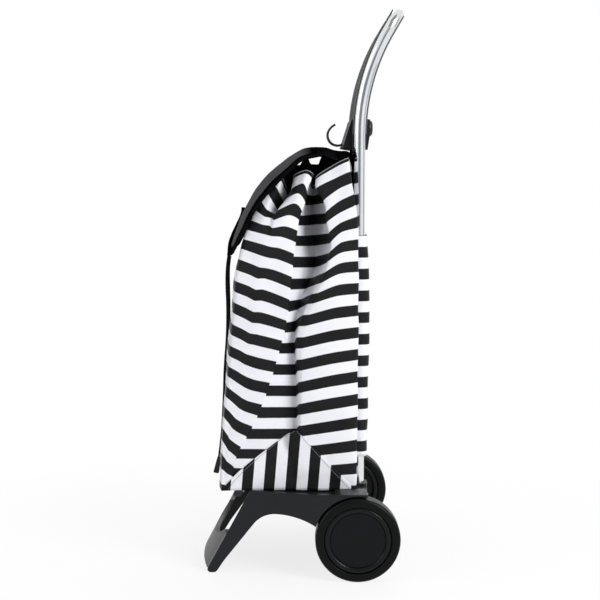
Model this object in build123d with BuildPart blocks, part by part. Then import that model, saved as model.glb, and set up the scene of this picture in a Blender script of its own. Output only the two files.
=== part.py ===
from build123d import *
from math import cos, radians, sin, tan
import os

os.makedirs("parts", exist_ok=True)

# Two-wheeled shopping trolley, in millimetres. +Z is up, -Y is the front, where the foot stands,
# and +X is the left side of someone who pulls it. The origin is on the floor, under the middle.

# Wheels and axle
wheel_diameter = 150.0
wheel_width = 38.0
track_width = 400.0
tyre_height = 15.0
tyre_shoulder = 6.0
rim_height = 11.0
rim_lip_radius = 4.0
wheel_web = 5.0
hub_diameter = 27.0
axle_diameter = 12.0
running_gap = 0.05
washer_thickness = 1.5
washer_diameter = 24.0
push_nut_thickness = 3.5
push_nut_diameter = 21.0
cap_thickness = 3.0
cap_recess = 3.5
cap_clear = 1.5

# Base moulding
arch_gap = 3.0
arch_thickness = 3.0
tray_depth = 6.0
rim_round = 2.5
tray_floor = 5.0
cheek_wall = 6.0
axle_wall = 7.0
foot_reach = 272.0
foot_bulge = 12.0
foot_lean = 27.8
foot_plate = 8.0
foot_half_width = 138.0
leg_width = 26.0
leg_foot_depth = 18.5
leg_depth = 34.5
leg_heel_rise = 25.0
leg_bevel = 20.0
leg_lip = 2.0
foot_round = 6.0
foot_pad_height = 4.0
fender_gap = 5.0
belly_reach = 168.0
belly_crest = 141.0
belly_height = 117.0
belly_round = 52.0
cheek_end_height = 101.5
base_back = 17.0
axle_drop = 19.0
window_half_width = 104.0
window_sill = 43.0
window_sill_rise = 27.0
window_rail = 14.0
socket_wall = 5.5
socket_depth = 46.0

# Frame tube and handle
tube_diameter = 20.0
tube_wall = 1.5
tube_spacing = 190.0
tube_back = 5.0
bend_radius = 360.0
bend_angle = 31.0
bow_radius = 36.0
liner_reach = 17.0
liner_lip = 2.4
liner_round = 5.0
seat_gap = 0.2

# Bridge, hook and their fasteners
bridge_gap = 31.7
bridge_rise = 27.0
bridge_drop = 27.0
bridge_front = 30.0
bridge_front_top = 14.0
bridge_back = 19.0
bridge_back_low = 15.0
bridge_wall = 3.0
bridge_web = 4.0
knob_diameter = 32.0
knob_height = 9.0
knob_round = 8.0
hook_width = 26.0
hook_thickness = 4.0
hook_arm = 17.5
hook_arm_slope = 40.0
hook_radius = 18.5
hook_turn = 160.0
hook_tip_radius = 26.0
hook_tip_turn = 35.0
hook_eye_radius = 6.5
hook_pin_diameter = 6.0
hook_pin_seat = 9.0
hook_side_gap = 1.2
hook_pin_forward = 11.0
hook_pin_below = 3.0
screw_diameter = 4.0
screw_head = 8.0
screw_spread = 55.0
socket_screw_reach = 3.0

# Bag, lid and straps
fabric = 3.0
bag_width = 290.0
bag_front = 237.0
bag_back = 8.0
bag_height = 555.0
collar_height = 20.0
board_thickness = 4.0
board_gap = 2.0
sleeve_low = 210.0
sleeve_height = 395.0
sleeve_cloth = 2.5
lid_cloth = 3.5
lid_width = 272.0
lid_rise = 35.0
lid_drop = 193.0
lid_setback = 10.0
lid_hinge_forward = 72.0
lid_bead = 2.2
lid_root_drop = 128.0
lid_root_width = 152.0
fold_gap = 0.3
strap_width = 20.0
strap_thickness = 2.4
strap_clear = 8.2
strap_stand = 1.2
strap_sewn = 58.0
hanger_width = 64.0
pull_length = 27.0
pull_top = 6.0
pull_bottom = 11.0
pull_width = 22.0
pull_lean = 10.0

# Places that follow from the sizes above
wheel_radius = wheel_diameter / 2
axle_radius = axle_diameter / 2
tube_radius = tube_diameter / 2
lean = radians(foot_lean)
bend = radians(bend_angle)
liner_half_depth = tube_radius + liner_lip
handle_back = (tube_back + bend_radius * (1 - cos(bend)) + bow_radius * sin(bend)
               + liner_half_depth * cos(bend))
front_extent = foot_reach + foot_bulge - foot_pad_height * tan(lean)
axle_y = (front_extent - max(handle_back, wheel_radius)) / 2
axle_z = wheel_radius
arch_radius = wheel_radius + arch_gap
rim_z = axle_z + arch_radius + arch_thickness
floor_z = rim_z - tray_depth
wheel_x = (track_width - wheel_width) / 2
wheel_inner_x = wheel_x - wheel_width / 2
cheek_x = wheel_inner_x - fender_gap
fender_x = track_width / 2 - fender_gap
tube_x = tube_spacing / 2
tube_y = axle_y + tube_back
tube_foot_z = rim_z - socket_depth
socket_half = tube_radius + socket_wall
screw_back_y = tube_y + socket_half
screw_z = (tube_foot_z + floor_z) / 2
bag_z = floor_z + fold_gap
bag_top_z = bag_z + bag_height
collar_top_z = bag_top_z + collar_height
bag_back_y = axle_y - bag_back
bag_front_y = axle_y - bag_front
bend_height = collar_top_z + bridge_gap + bridge_drop
bridge_top_z = bend_height + bridge_rise
bridge_low_z = bend_height - bridge_drop


def foot_front(height):
    """Y of the sloping front of the legs at a height."""
    return axle_y - foot_reach + height * tan(lean)


# Wheels: a rubber tyre on a plastic core, with a flat cap pressed into its outer face
core_radius = wheel_radius - tyre_height
cap_radius = core_radius - rim_height
half_width = wheel_width / 2
hub_inner = half_width + fender_gap - washer_thickness - 2 * fold_gap
cap_outer = half_width - cap_recess
cap_inner = cap_outer - cap_thickness
axle_end = cap_inner - cap_clear
hub_outer = axle_end - push_nut_thickness - 2 * fold_gap
for side, hand in ((1, "left"), (-1, "right")):
    wheel_centre = (side * wheel_x, axle_y, axle_z)
    wheel_plane = Plane(origin=wheel_centre, x_dir=(side, 0, 0), z_dir=(0, -side, 0))
    wheel_axis = Axis(wheel_centre, (1, 0, 0))

    with BuildPart() as tyre:
        with BuildSketch(wheel_plane):
            with Locations((0, wheel_radius - tyre_height / 2)):
                Rectangle(wheel_width, tyre_height)
            tread_corners = vertices().group_by(Axis.Y)[-1]
            fillet(tread_corners, radius=tyre_shoulder)
        revolve(axis=wheel_axis)
    tyre.part.label = f"tyre_{hand}"
    export_step(tyre.part, f"parts/tyre_{hand}.step")

    with BuildPart() as core:
        with BuildSketch(wheel_plane):
            rim_middle = core_radius - seat_gap - rim_height / 2
            with Locations((0, rim_middle)):
                Rectangle(wheel_width - rim_lip_radius / 2, rim_height)
            rim_edges = vertices()
            fillet(rim_edges, radius=rim_lip_radius)
            with Locations((0, (rim_middle + axle_radius) / 2)):
                Rectangle(wheel_web, rim_middle - axle_radius)
            with Locations(((hub_outer - hub_inner) / 2, hub_diameter / 4)):
                Rectangle(hub_outer + hub_inner, hub_diameter / 2)
            with Locations((0, (axle_radius + running_gap) / 2)):
                Rectangle(2 * track_width, axle_radius + running_gap, mode=Mode.SUBTRACT)
            ledge_middle = cap_inner - fold_gap - wheel_web / 2
            with Locations((ledge_middle, cap_radius - wheel_web / 2)):
                Rectangle(wheel_web, wheel_web + rim_height / 2)
        revolve(axis=wheel_axis)
    core.part.label = f"wheel_core_{hand}"
    export_step(core.part, f"parts/wheel_core_{hand}.step")

    with BuildPart() as cap:
        with BuildSketch(wheel_plane):
            cap_edge = cap_radius - seat_gap
            with Locations(((cap_outer + cap_inner) / 2, cap_edge / 2)):
                Rectangle(cap_thickness, cap_edge)
        revolve(axis=wheel_axis)
        cap_face = faces().sort_by(Axis.X)[-1 if side > 0 else 0]
        fillet(cap_face.edges(), radius=cap_thickness / 3)
    cap.part.label = f"hub_cap_{hand}"
    export_step(cap.part, f"parts/hub_cap_{hand}.step")

# Axle: a plain steel rod through the base, with a washer inside and a push nut outside each wheel
axle_plane = Plane(origin=(0, axle_y, axle_z), x_dir=(0, 1, 0), z_dir=(1, 0, 0))
with BuildPart() as axle:
    with BuildSketch(axle_plane):
        Circle(axle_radius)
    extrude(amount=wheel_x + axle_end, both=True)
    chamfer(edges(), length=axle_radius / 6)
axle.part.label = "axle"
export_step(axle.part, "parts/axle.step")

with BuildPart() as axle_washers:
    for side in (1, -1):
        washer_x = side * (cheek_x + fold_gap)
        with BuildSketch(axle_plane.offset(washer_x)):
            Circle(washer_diameter / 2)
            Circle(axle_radius + running_gap, mode=Mode.SUBTRACT)
        extrude(amount=side * washer_thickness)
axle_washers.part.label = "axle_washers"
export_step(axle_washers.part, "parts/axle_washers.step")

with BuildPart() as push_nuts:
    for side in (1, -1):
        nut_x = side * (wheel_x + hub_outer + fold_gap)
        with BuildSketch(axle_plane.offset(nut_x)):
            Circle(push_nut_diameter / 2)
            Circle(axle_radius + running_gap, mode=Mode.SUBTRACT)
        extrude(amount=side * push_nut_thickness)
push_nuts.part.label = "axle_push_nuts"
export_step(push_nuts.part, "parts/axle_push_nuts.step")

# Base: one plastic moulding. Flared cheeks carry the tray and the wheel arches and run down into
# the legs, which a curved, sloping foot plate with a large window joins.
leg_inner_x = foot_half_width - leg_width
foot_front_y = foot_front(foot_pad_height)
arch_front_y = axle_y - arch_radius
flare_y = axle_y - arch_radius + cheek_wall
wall_y = arch_front_y - 2 * cheek_wall
back_y = axle_y + base_back
leg_top_y = foot_front(floor_z) + cheek_wall


def flare_x(y):
    """Half width of the base over its flared sides, which run straight from foot to wheel arch."""
    share = (y - foot_front_y) / (flare_y - foot_front_y)
    return foot_half_width + (fender_x - foot_half_width) * min(share, 1)


def base_side(low, high):
    """Outline of the base from the side between two heights, as a face in the YZ plane."""
    with BuildSketch(Plane.YZ) as side_view:
        with BuildLine():
            Polyline(
                (axle_y - belly_reach, belly_height),
                (foot_front(0) + leg_depth, leg_heel_rise),
                (foot_front(0) + leg_foot_depth, 0),
                (foot_front(0), 0),
                (foot_front(rim_z), rim_z),
                (back_y, rim_z),
                (back_y, axle_z - axle_drop),
                (axle_y - axle_drop, axle_z - axle_drop),
                (arch_front_y, cheek_end_height),
            )
            belly_end = (axle_y - belly_crest, belly_height)
            Line((axle_y - belly_reach, belly_height), belly_end)
            TangentArc(belly_end, (arch_front_y, cheek_end_height), tangent=(1, 0))
        make_face()
        toe = vertices().group_by(Axis.Y)[0]
        fillet(toe, radius=foot_round)
        belly = vertices().sort_by_distance((axle_y - belly_reach, belly_height))[0]
        fillet(belly, radius=belly_round)
        with Locations((axle_y, (low + high) / 2)):
            Rectangle(4 * foot_reach, high - low, mode=Mode.INTERSECT)
    return side_view.sketch


leg_inner_top_x = flare_x(leg_top_y) - leg_width
tray_half_width = bag_width / 2 + fold_gap
well_y = axle_y - arch_radius / 2
with BuildPart() as base:
    extrude(base_side(foot_pad_height, rim_z), amount=track_width, both=True)
    with BuildSketch(Plane.XY):
        with BuildLine():
            Polyline(
                (leg_inner_x, foot_front_y - foot_bulge),
                (foot_half_width, foot_front_y - foot_bulge),
                (foot_half_width, foot_front_y),
                (fender_x, flare_y),
                (fender_x, back_y),
                (cheek_x - axle_wall, back_y),
                (cheek_x - axle_wall, wall_y),
                (flare_x(wall_y) - cheek_wall, wall_y),
                (flare_x(leg_top_y) - cheek_wall, leg_top_y),
                (leg_inner_top_x, leg_top_y),
                (leg_inner_x, foot_front_y),
                close=True,
            )
        make_face()
        mirror(about=Plane.YZ)
    extrude(amount=rim_z, mode=Mode.INTERSECT)

    with BuildSketch(Plane.XY.offset(floor_z - tray_floor)):
        with BuildLine():
            tray_y = foot_front(floor_z) + foot_plate / 2
            tray_x = flare_x(tray_y) - cheek_wall / 2
            arch_x = flare_x(flare_y) - cheek_wall / 2
            ThreePointArc((-tray_x, tray_y), (0, tray_y - foot_bulge), (tray_x, tray_y))
            Polyline((tray_x, tray_y), (arch_x, flare_y), (cheek_x, flare_y), (cheek_x, back_y),
                     (-cheek_x, back_y), (-cheek_x, flare_y), (-arch_x, flare_y), (-tray_x, tray_y))
        make_face()
    extrude(amount=tray_floor)

    slope = (0, sin(lean), cos(lean))
    plate_x = leg_inner_x + leg_width / 3
    with BuildSketch(Plane.XY.offset(foot_pad_height)):
        with BuildLine():
            plate_back_y = foot_front_y + foot_plate / cos(lean)
            ThreePointArc((-plate_x, foot_front_y), (0, foot_front_y - foot_bulge), (plate_x, foot_front_y))
            Line((plate_x, foot_front_y), (plate_x, plate_back_y))
            ThreePointArc((plate_x, plate_back_y), (0, plate_back_y - foot_bulge), (-plate_x, plate_back_y))
            Line((-plate_x, plate_back_y), (-plate_x, foot_front_y))
        make_face()
    extrude(amount=(floor_z - foot_pad_height) / cos(lean), dir=slope)

    window_top_z = floor_z - window_rail
    window_y = foot_front((window_top_z + window_sill) / 2)
    with BuildSketch(Plane.XZ.offset(-window_y)):
        with BuildLine():
            side_z = window_sill + window_sill_rise
            ThreePointArc((-window_half_width, side_z), (0, window_sill), (window_half_width, side_z))
            Polyline((window_half_width, side_z), (window_half_width, window_top_z),
                     (-window_half_width, window_top_z), (-window_half_width, side_z))
        make_face()
    extrude(amount=foot_reach / 4, both=True, mode=Mode.SUBTRACT)

    with BuildSketch(axle_plane):
        Circle(axle_radius + axle_wall)
        with Locations((0, (floor_z - axle_z) / 2)):
            Rectangle(cheek_wall, floor_z - axle_z - tray_floor / 2)
    extrude(amount=cheek_x - axle_wall / 2, both=True)
    with BuildSketch(Plane.XY.offset(tube_foot_z - socket_wall)):
        with Locations((tube_x, tube_y), (-tube_x, tube_y)):
            RectangleRounded(2 * socket_half, 2 * socket_half, socket_wall)
    extrude(amount=rim_z - tube_foot_z + socket_wall)
    with BuildSketch(Plane.XY.offset(rim_z)):
        tray_back_y = bag_back_y + fold_gap
        tray_front_y = bag_front_y - foot_reach
        with Locations((0, (tray_back_y + tray_front_y) / 2)):
            Rectangle(2 * tray_half_width, tray_back_y - tray_front_y)
        with BuildLine():
            Polyline(
                (0, leg_top_y),
                (flare_x(leg_top_y) - cheek_wall, leg_top_y),
                (flare_x(flare_y) - cheek_wall, flare_y),
                (flare_x(well_y) - cheek_wall, well_y),
                (0, well_y),
                close=True,
            )
        make_face()
        mirror(about=Plane.YZ)
    extrude(amount=-tray_depth, mode=Mode.SUBTRACT)
    rim_edges = edges().filter_by_position(Axis.Z, rim_z - fold_gap, rim_z + fold_gap).filter_by(
        lambda edge: abs(abs(edge.center().X) - flare_x(edge.center().Y)) < fold_gap)
    fillet(rim_edges, radius=rim_round)

    bevel_low = window_sill + window_sill_rise
    bevel_y = foot_front(bevel_low)
    bevel_x = flare_x(bevel_y)
    flare_slope = (fender_x - foot_half_width) / (flare_y - foot_front_y)
    window_x = window_half_width - leg_lip - flare_slope * tan(lean) * (rim_z - bevel_low)
    for side in (1, -1):
        leg_line = Vector(side * flare_slope * tan(lean), tan(lean), 1).normalized()
        with BuildSketch(Plane.XY.offset(bevel_low)):
            with BuildLine():
                Polyline(
                    (side * (bevel_x - leg_lip), bevel_y),
                    (side * (bevel_x - leg_lip), bevel_y - 2 * foot_bulge),
                    (side * window_x, bevel_y - 2 * foot_bulge),
                    (side * window_x, bevel_y + leg_bevel),
                    (side * (bevel_x - leg_width), bevel_y + leg_bevel),
                    close=True,
                )
            make_face()
        extrude(amount=(rim_z - bevel_low) / leg_line.Z, dir=leg_line, mode=Mode.SUBTRACT)

    with BuildSketch(Plane.XY.offset(tube_foot_z)):
        with Locations((tube_x, tube_y), (-tube_x, tube_y)):
            Circle(tube_radius + seat_gap)
    extrude(amount=2 * socket_depth, mode=Mode.SUBTRACT)
    with BuildSketch(Plane.XZ.offset(-screw_back_y)):
        with Locations((tube_x, screw_z), (-tube_x, screw_z)):
            Circle(screw_diameter / 2 + running_gap)
    extrude(amount=socket_half, mode=Mode.SUBTRACT)
    with BuildSketch(axle_plane):
        Circle(axle_radius + running_gap)
    extrude(amount=track_width, both=True, mode=Mode.SUBTRACT)
    for side in (1, -1):
        with BuildSketch(axle_plane.offset(side * cheek_x)):
            Circle(arch_radius)
        extrude(amount=side * track_width, mode=Mode.SUBTRACT)
base.part.label = "base"
export_step(base.part, "parts/base.step")

# Foot pads: a rubber toe under each leg, which is what the trolley stands on in front
pad_middle_x = foot_half_width - leg_width / 2
with BuildPart() as foot_pads:
    for side in (1, -1):
        toe_face = Pos(side * pad_middle_x, 0, 0) * base_side(0, foot_pad_height)
        extrude(toe_face, amount=leg_width / 2, both=True)
foot_pads.part.label = "foot_pads"
export_step(foot_pads.part, "parts/foot_pads.step")

# Frame tube: one chromed steel tube, an inverted U whose upper part leans back to the handle bow
bow_side_x = tube_x - bow_radius
tangent_y, tangent_z = sin(bend), cos(bend)
bend_end_y = tube_y + bend_radius * (1 - cos(bend))
bend_end_z = bend_height + bend_radius * sin(bend)
bend_mid_y = tube_y + bend_radius * (1 - cos(bend / 2))
bend_mid_z = bend_height + bend_radius * sin(bend / 2)
bow_y = bend_end_y + bow_radius * tangent_y
bow_z = bend_end_z + bow_radius * tangent_z
half_turn = radians(45)
bow_mid_x = bow_side_x + bow_radius * cos(half_turn)
bow_mid_y = bend_end_y + bow_radius * sin(half_turn) * tangent_y
bow_mid_z = bend_end_z + bow_radius * sin(half_turn) * tangent_z


def handle_path(start_z):
    """Centre line of the U from a height on the left leg, over the bow, to the right leg."""
    for side in (1, -1):
        if start_z < bend_height:
            Line((side * tube_x, tube_y, start_z), (side * tube_x, tube_y, bend_height))
        ThreePointArc((side * tube_x, tube_y, bend_height),
                      (side * tube_x, bend_mid_y, bend_mid_z),
                      (side * tube_x, bend_end_y, bend_end_z))
        ThreePointArc((side * tube_x, bend_end_y, bend_end_z),
                      (side * bow_mid_x, bow_mid_y, bow_mid_z),
                      (side * bow_side_x, bow_y, bow_z))
    Line((bow_side_x, bow_y, bow_z), (-bow_side_x, bow_y, bow_z))


with BuildPart() as frame_tube:
    with BuildLine() as tube_line:
        handle_path(tube_foot_z)
    with BuildSketch(Plane((tube_x, tube_y, tube_foot_z))):
        Circle(tube_radius)
        Circle(tube_radius - tube_wall, mode=Mode.SUBTRACT)
    sweep(path=tube_line.wires()[0])
    with BuildSketch(Plane.XZ.offset(-screw_back_y)):
        with Locations((tube_x, screw_z), (-tube_x, screw_z)):
            Circle(screw_diameter / 2 + running_gap)
    extrude(amount=socket_half, mode=Mode.SUBTRACT)
frame_tube.part.label = "frame_tube"
export_step(frame_tube.part, "parts/frame_tube.step")

# Handle liner: a black moulded channel that clips round the inner half of the bow
with BuildPart() as liner:
    with BuildLine() as liner_line:
        handle_path(bend_height)
    with BuildSketch(Plane((tube_x, tube_y, bend_height), x_dir=(-1, 0, 0), z_dir=(0, 0, 1))):
        with Locations((liner_reach / 2, 0)):
            Rectangle(liner_reach, 2 * liner_half_depth)
        fillet(vertices().group_by(Axis.X)[-1], radius=liner_round)
        Circle(tube_radius + seat_gap, mode=Mode.SUBTRACT)
    sweep(path=liner_line.wires()[0])
liner.part.label = "handle_liner"
export_step(liner.part, "parts/handle_liner.step")

# Socket screws: one from behind through the base into the foot of each leg
with BuildPart() as socket_screws:
    with BuildSketch(Plane.XZ.offset(-screw_back_y - fold_gap)):
        with Locations((tube_x, screw_z), (-tube_x, screw_z)):
            Circle(screw_head / 2)
    extrude(amount=-screw_diameter / 2)
    with BuildSketch(Plane.XZ.offset(-screw_back_y - fold_gap)):
        with Locations((tube_x, screw_z), (-tube_x, screw_z)):
            Circle(screw_diameter / 2)
    extrude(amount=socket_wall + tube_wall + socket_screw_reach)
socket_screws.part.label = "socket_screws"
export_step(socket_screws.part, "parts/socket_screws.step")

# Bridge: two half shells between the legs, screwed together round them, that carry hook and bag
bridge_half_width = tube_x - liner_reach - seat_gap
grip_low_z = bridge_low_z
grip_top_z = bend_height - seat_gap
pin_y = tube_y - hook_pin_forward
pin_z = bend_height - hook_pin_below
hook_bay = hook_width / 2 + hook_side_gap


def grip_outline(shift):
    """Plan of a bridge shell's ends, which reach out to the tubes and hug their inner quarter."""
    with BuildSketch(Plane.XY.offset(grip_low_z)) as outline:
        with Locations((0, tube_y + shift)):
            Rectangle(2 * tube_x, liner_half_depth)
        with Locations((tube_x, tube_y), (-tube_x, tube_y)):
            Circle(tube_radius + seat_gap, mode=Mode.SUBTRACT)
    return outline.sketch


with BuildPart() as bridge_front_shell:
    with BuildSketch(Plane.YZ):
        with BuildLine():
            Polyline(
                (tube_y, bridge_low_z),
                (tube_y - bridge_front_top, bridge_low_z),
                (tube_y - bridge_front, bridge_low_z + bridge_wall),
                (tube_y - bridge_front_top, bridge_top_z),
                (tube_y, bridge_top_z),
                close=True,
            )
        make_face()
    extrude(amount=bridge_half_width, both=True)
    extrude(grip_outline(-liner_half_depth / 2), amount=grip_top_z - grip_low_z)
    with BuildSketch(Plane.XY.offset(bridge_low_z)):
        bay_back_y = tube_y - bridge_web
        with Locations((0, bay_back_y - bridge_front)):
            Rectangle(2 * hook_bay, 2 * bridge_front)
    extrude(amount=bridge_rise + bridge_drop, mode=Mode.SUBTRACT)
    with BuildSketch(Plane.YZ):
        with Locations((pin_y, pin_z)):
            Circle(hook_pin_diameter / 2 + running_gap)
    extrude(amount=hook_bay + hook_pin_seat, both=True, mode=Mode.SUBTRACT)
    with BuildSketch(Plane.XZ.offset(-tube_y)):
        with Locations((screw_spread, bend_height), (-screw_spread, bend_height)):
            Circle(screw_diameter / 2 + running_gap)
    extrude(amount=bridge_front_top - bridge_wall, mode=Mode.SUBTRACT)
bridge_front_shell.part.label = "bridge_front"
export_step(bridge_front_shell.part, "parts/bridge_front.step")

knob_z = bend_height + bridge_rise / 2
with BuildPart() as bridge_back_shell:
    with BuildSketch(Plane.YZ):
        with BuildLine():
            Polyline(
                (tube_y, bridge_low_z),
                (tube_y + bridge_back_low, bridge_low_z),
                (tube_y + bridge_back, bend_height),
                (tube_y + bridge_back, bridge_top_z),
                (tube_y, bridge_top_z),
                close=True,
            )
        make_face()
    extrude(amount=bridge_half_width, both=True)
    extrude(grip_outline(liner_half_depth / 2), amount=grip_top_z - grip_low_z)
    with BuildSketch(Plane.XZ.offset(-tube_y - bridge_back)):
        with Locations((screw_spread, bend_height), (-screw_spread, bend_height)):
            Circle(screw_head / 2 + seat_gap)
    extrude(amount=bridge_back / 2, mode=Mode.SUBTRACT)
    with BuildSketch(Plane.XZ.offset(-tube_y - bridge_back)):
        with Locations((screw_spread, bend_height), (-screw_spread, bend_height)):
            Circle(screw_diameter / 2 + running_gap)
    extrude(amount=bridge_back, mode=Mode.SUBTRACT)
bridge_back_shell.part.label = "bridge_back"
export_step(bridge_back_shell.part, "parts/bridge_back.step")

with BuildPart() as bridge_screws:
    head_y = tube_y + bridge_back / 2 + fold_gap
    with BuildSketch(Plane.XZ.offset(-head_y)):
        with Locations((screw_spread, bend_height), (-screw_spread, bend_height)):
            Circle(screw_head / 2)
    extrude(amount=-screw_diameter / 2)
    with BuildSketch(Plane.XZ.offset(-head_y)):
        with Locations((screw_spread, bend_height), (-screw_spread, bend_height)):
            Circle(screw_diameter / 2)
    extrude(amount=bridge_back / 2 + bridge_front_top - bridge_wall)
bridge_screws.part.label = "bridge_screws"
export_step(bridge_screws.part, "parts/bridge_screws.step")

# Knob: a domed plastic button on the back of the bridge
with BuildPart() as knob:
    knob_y = tube_y + bridge_back + fold_gap
    with BuildSketch(Plane.XZ.offset(-knob_y)):
        with Locations((0, knob_z)):
            Circle(knob_diameter / 2)
    extrude(amount=-knob_height)
    fillet(edges().group_by(Axis.Y)[-1], radius=knob_round)
knob.part.label = "bridge_knob"
export_step(knob.part, "parts/bridge_knob.step")

# Hook: a flat strip bent into a C, with an eye that turns on a pin across the bridge's bay
with BuildPart() as hook:
    with BuildSketch(Plane.YZ):
        with BuildLine():
            slope_angle = radians(180 + hook_arm_slope)
            heading = (cos(slope_angle), sin(slope_angle))
            arm_end = (pin_y + hook_arm * heading[0], pin_z + hook_arm * heading[1])
            Line((pin_y, pin_z), arm_end)
            curl = JernArc(arm_end, heading, hook_radius, -hook_turn)
            JernArc(curl @ 1, curl % 1, hook_tip_radius, -hook_tip_turn)
        trace(line_width=hook_thickness)
        with Locations((pin_y, pin_z)):
            Circle(hook_eye_radius)
            Circle(hook_pin_diameter / 2 + running_gap, mode=Mode.SUBTRACT)
    extrude(amount=hook_width / 2, both=True)
hook.part.label = "hook"
export_step(hook.part, "parts/hook.step")

with BuildPart() as hook_pin:
    with BuildSketch(Plane.YZ):
        with Locations((pin_y, pin_z)):
            Circle(hook_pin_diameter / 2)
    extrude(amount=hook_bay + hook_pin_seat - fold_gap, both=True)
hook_pin.part.label = "hook_pin"
export_step(hook_pin.part, "parts/hook_pin.step")

# Bag: a sewn shell that leans back at the top, with a gusset folded into each side. Each row of
# the outline gives, as shares of the bag's height, half width and depth: how high it lies, its half
# width, how far its front and the middle of its gusset stand from the back, and the gusset's depth
# and half opening.
bag_half = bag_width / 2
bag_depth = bag_front - bag_back
bag_rows = [
    (0.0, 0.986, 1.0, 0.432, 0.0, 0.052),
    (0.166, 1.014, 1.018, 0.432, 0.02, 0.052),
    (0.45, 1.014, 0.956, 0.432, 0.152, 0.061),
    (0.667, 1.007, 0.908, 0.432, 0.276, 0.079),
    (0.829, 0.972, 0.812, 0.41, 0.379, 0.087),
    (1.0, 0.841, 0.498, 0.323, 0.414, 0.061),
]
corner = 12.0


def bag_outline(row, height, inset):
    """Closed outline of one row of the bag, laid at a height and moved inwards by inset."""
    half = bag_half * row[1] - inset
    front_y = bag_back_y - bag_depth * row[2] + inset
    middle_y = bag_back_y - bag_depth * row[3]
    back_y = bag_back_y - inset
    depth = bag_half * row[4]
    opening = bag_depth * row[5]
    lip = opening + inset * depth / (depth + opening)
    flank = [
        (half - corner, front_y),
        (half, front_y + corner),
        (half, middle_y - lip),
        (half - depth, middle_y),
        (half, middle_y + lip),
        (half, back_y - corner),
        (half - corner, back_y),
    ]
    other = [(-x, y) for x, y in reversed(flank)]
    with BuildSketch(Plane.XY.offset(height)) as outline:
        with BuildLine():
            Polyline(*flank, *other, close=True)
        make_face()
    return outline.sketch


with BuildPart() as bag:
    heights = [bag_z + bag_height * row[0] for row in bag_rows]
    inner_heights = [bag_z + fabric] + heights[1:]
    outer = [bag_outline(row, height, 0) for row, height in zip(bag_rows, heights)]
    inner = [bag_outline(row, height, fabric) for row, height in zip(bag_rows, inner_heights)]
    loft(outer, ruled=True)
    loft(inner, ruled=True, mode=Mode.SUBTRACT)
bag.part.label = "bag_body"
export_step(bag.part, "parts/bag_body.step")

# Collar: the black gathered edge sewn on the rim of the bag, drawn in under the lid
mouth_row = (1.0, 0.69, 0.41, 0.236, 0.241, 0.052)
with BuildPart() as collar:
    collar_rows = [(bag_rows[-1], bag_top_z + fold_gap), (mouth_row, collar_top_z)]
    loft([bag_outline(row, height, 0) for row, height in collar_rows], ruled=True)
    loft([bag_outline(row, height, fabric) for row, height in collar_rows], ruled=True, mode=Mode.SUBTRACT)
collar.part.label = "bag_collar"
export_step(collar.part, "parts/bag_collar.step")

# Base board: the stiff sheet that keeps the bottom of the bag flat
with BuildPart() as board:
    board_back_y = bag_back_y - fabric - board_gap
    board_front_y = bag_front_y + fabric + board_gap
    with BuildSketch(Plane.XY.offset(bag_z + fabric + fold_gap)):
        with Locations((0, (board_back_y + board_front_y) / 2)):
            board_width = 2 * (bag_half * bag_rows[0][1] - fabric - board_gap)
            RectangleRounded(board_width, board_back_y - board_front_y, 2 * corner)
    extrude(amount=board_thickness)
board.part.label = "bag_base_board"
export_step(board.part, "parts/bag_base_board.step")

# Back sleeve: a tunnel of bag cloth that runs behind the two tubes and holds the bag to them
sleeve_x = tube_x + tube_radius + fold_gap + sleeve_cloth / 2
sleeve_y = tube_y + tube_radius + fold_gap + sleeve_cloth / 2
with BuildPart() as sleeve:
    with BuildSketch(Plane.XY.offset(sleeve_low)):
        with BuildLine():
            sleeve_front_y = bag_back_y + fold_gap
            FilletPolyline((sleeve_x, sleeve_front_y), (sleeve_x, sleeve_y), (-sleeve_x, sleeve_y),
                           (-sleeve_x, sleeve_front_y), radius=tube_radius)
        trace(line_width=sleeve_cloth)
    extrude(amount=sleeve_height)
sleeve.part.label = "back_sleeve"
export_step(sleeve.part, "parts/back_sleeve.step")

# Lid: a cloth flap. Its root is sewn to the back of the bag and passes under the hook; in front of
# that it folds along a beaded line and hangs over the front of the bag.
hinge_y = axle_y - lid_hinge_forward
hinge_z = collar_top_z + lid_rise
root_front_y = hinge_y + lid_bead + fold_gap
root_back_y = bag_back_y + fold_gap + fabric
root_low_z = collar_top_z - lid_root_drop
root_top_z = hinge_z + lid_cloth / 2
shoulder_z = collar_top_z + lid_rise / 3
shoulder_slope = (root_top_z - lid_cloth - shoulder_z) / lid_rise
with BuildPart() as lid_root:
    with BuildSketch(Plane.YZ):
        with BuildLine():
            Polyline(
                (root_back_y, root_low_z),
                (root_back_y, shoulder_z),
                (root_back_y - lid_rise, root_top_z - lid_cloth),
                (root_front_y + lid_hinge_forward / 3, root_top_z),
                (root_front_y, root_top_z),
                (root_front_y, root_top_z - lid_cloth),
                (root_front_y + lid_hinge_forward / 3, root_top_z - lid_cloth),
                (root_back_y - lid_rise, root_top_z - 2.5 * lid_cloth),
                (bag_back_y + fold_gap, collar_top_z + fold_gap),
                (bag_back_y + fold_gap, root_low_z),
                close=True,
            )
        make_face()
    extrude(amount=lid_root_width / 2, both=True)
lid_root.part.label = "lid_root"
export_step(lid_root.part, "parts/lid_root.step")

# Outer line of the lid from the fold to its tip, along the middle and along the sides, which droop.
# Each point is a share of the lid's reach ahead of the fold and of its drop below it.
lid_reach = bag_front - lid_hinge_forward - lid_setback
lid_middle = [(0, 0), (0.245, 0.073), (0.484, 0.233), (0.723, 0.482), (0.89, 0.741), (1, 1)]
lid_side = [(0, 0), (0.245, 0.171), (0.452, 0.311), (0.665, 0.508), (0.839, 0.762), (0.968, 0.953)]


def lid_point(share):
    """Y and Z of a point of the lid's outer line."""
    ahead, below = share
    return hinge_y - lid_reach * ahead, root_top_z - lid_drop * below


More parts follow.
